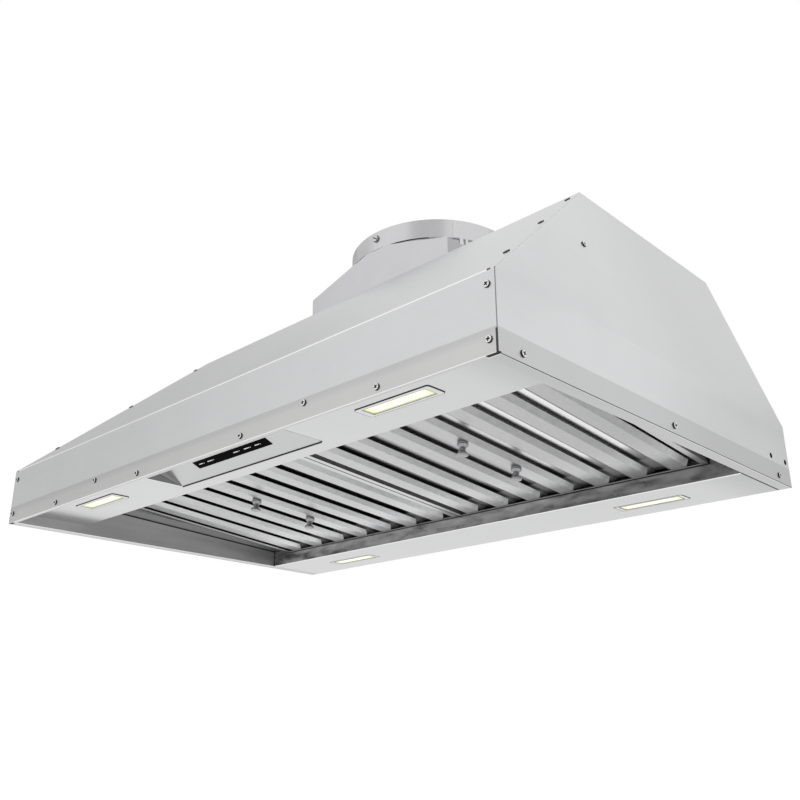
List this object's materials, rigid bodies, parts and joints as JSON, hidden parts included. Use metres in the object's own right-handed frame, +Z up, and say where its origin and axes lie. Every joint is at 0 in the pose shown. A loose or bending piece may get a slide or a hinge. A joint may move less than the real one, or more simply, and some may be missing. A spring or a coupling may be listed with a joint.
{
  "type": "range hood liner",
  "caption": "Brushed stainless range hood liner with a sloping front, drop-down baffle filters, strip lamps, a touch panel recess, blowers and a round duct collar with damper flaps.",
  "frame": {"origin": "middle of the bottom edge, at the centre of the liner's width and depth", "axes": "+X to the right as seen from the cook's side, +Y to the wall, +Z up along the duct"},
  "size_m": [0.8762, 0.5766, 0.418],
  "materials": {
    "canopy_steel": "fine brushed stainless, long grain",
    "liner_steel": "fine brushed stainless",
    "bezel_steel": "satin stainless",
    "filter_frame_steel": "satin stainless",
    "baffle_steel": "bright satin stainless, grain along the baffles",
    "knob_metal": "turned satin metal",
    "touch_glass": "black gloss panel",
    "board_plastic": "matt black case",
    "lamp_lens": "warm white diffuser",
    "lamp_tray": "white powder coat",
    "scroll_steel": "galvanised sheet, dull",
    "impeller_metal": "black coated steel",
    "motor_metal": "dark enamel",
    "bracket_steel": "zinc plated",
    "rod_steel": "bright drawn steel",
    "transition_steel": "galvanised sheet, satin",
    "collar_steel": "galvanised sheet, satin",
    "screw_steel": "bright stainless, pan heads",
    "flap_metal": "mill finish",
    "junction_steel": "galvanised sheet",
    "bush_plastic": "black moulded",
    "driver_plastic": "white moulded case"
  },
  "bodies": {
    "hood": {"blower_motor_left": "motor_metal", "blower_motor_right": "motor_metal", "control_board": "board_plastic", "control_glass": "touch_glass", "control_plate": "liner_steel", "control_pocket": "liner_steel", "damper_rod": "rod_steel", "duct_collar": "collar_steel", "duct_neck": "transition_steel", "end_panel_left": "canopy_steel", "end_panel_right": "canopy_steel", "end_screws": "screw_steel", "filter_catch_left": "liner_steel", "filter_catch_right": "liner_steel", "filter_rail": "liner_steel", "front_flange_left": "canopy_steel", "front_flange_right": "canopy_steel", "front_light_strip": "liner_steel", "front_panel": "canopy_steel", "front_screws": "screw_steel", "junction_box": "junction_steel", "junction_cover": "junction_steel", "lamp_bezel_front_left": "bezel_steel", "lamp_bezel_front_right": "bezel_steel", "lamp_bezel_rear_left": "bezel_steel", "lamp_bezel_rear_right": "bezel_steel", "lamp_driver": "driver_plastic", "lamp_lens_front_left": "lamp_lens", "lamp_lens_front_right": "lamp_lens", "lamp_lens_rear_left": "lamp_lens", "lamp_lens_rear_right": "lamp_lens", "lamp_tray_front_left": "lamp_tray", "lamp_tray_front_right": "lamp_tray", "lamp_tray_rear_left": "lamp_tray", "lamp_tray_rear_right": "lamp_tray", "motor_bracket_left": "bracket_steel", "motor_bracket_right": "bracket_steel", "rear_light_strip": "liner_steel", "rear_panel": "canopy_steel", "scroll_housing_left": "scroll_steel", "scroll_housing_right": "scroll_steel", "side_liner_left": "liner_steel", "side_liner_right": "liner_steel", "supply_bush": "bush_plastic", "top_panel": "canopy_steel", "transition_box": "transition_steel"},
    "filter_left": {"filter_frame_left": "filter_frame_steel", "filter_knobs_left": "knob_metal", "filter_lower_baffles_left": "baffle_steel", "filter_upper_baffles_left": "baffle_steel"},
    "filter_right": {"filter_frame_right": "filter_frame_steel", "filter_knobs_right": "knob_metal", "filter_lower_baffles_right": "baffle_steel", "filter_upper_baffles_right": "baffle_steel"},
    "impeller_left": {"impeller_left": "impeller_metal", "motor_shaft_left": "rod_steel"},
    "impeller_right": {"impeller_right": "impeller_metal", "motor_shaft_right": "rod_steel"},
    "damper_left": {"damper_flap_left": "flap_metal"},
    "damper_right": {"damper_flap_right": "flap_metal"}
  },
  "joints": [
    {"name": "filter_drop_left", "type": "hinge", "parent": "hood", "child": "filter_left", "pos_m": [-0.1925, 0.1832, 0.0185], "axis": [1, 0, 0], "range_deg": [0, 60]},
    {"name": "filter_drop_right", "type": "hinge", "parent": "hood", "child": "filter_right", "pos_m": [0.1925, 0.1832, 0.0185], "axis": [1, 0, 0], "range_deg": [0, 60]},
    {"name": "impeller_spin_left", "type": "hinge", "parent": "hood", "child": "impeller_left", "pos_m": [-0.062, 0.1295, 0.165], "axis": [1, 0, 0], "continuous": true},
    {"name": "impeller_spin_right", "type": "hinge", "parent": "hood", "child": "impeller_right", "pos_m": [0.062, 0.1295, 0.165], "axis": [1, 0, 0], "continuous": true},
    {"name": "damper_lift_left", "type": "hinge", "parent": "hood", "child": "damper_left", "pos_m": [0, 0.1375, 0.4067], "axis": [0, 1, 0], "range_deg": [0, 80]},
    {"name": "damper_lift_right", "type": "hinge", "parent": "hood", "child": "damper_right", "pos_m": [0, 0.1375, 0.4067], "axis": [0, -1, 0], "range_deg": [0, 80]}
  ]
}
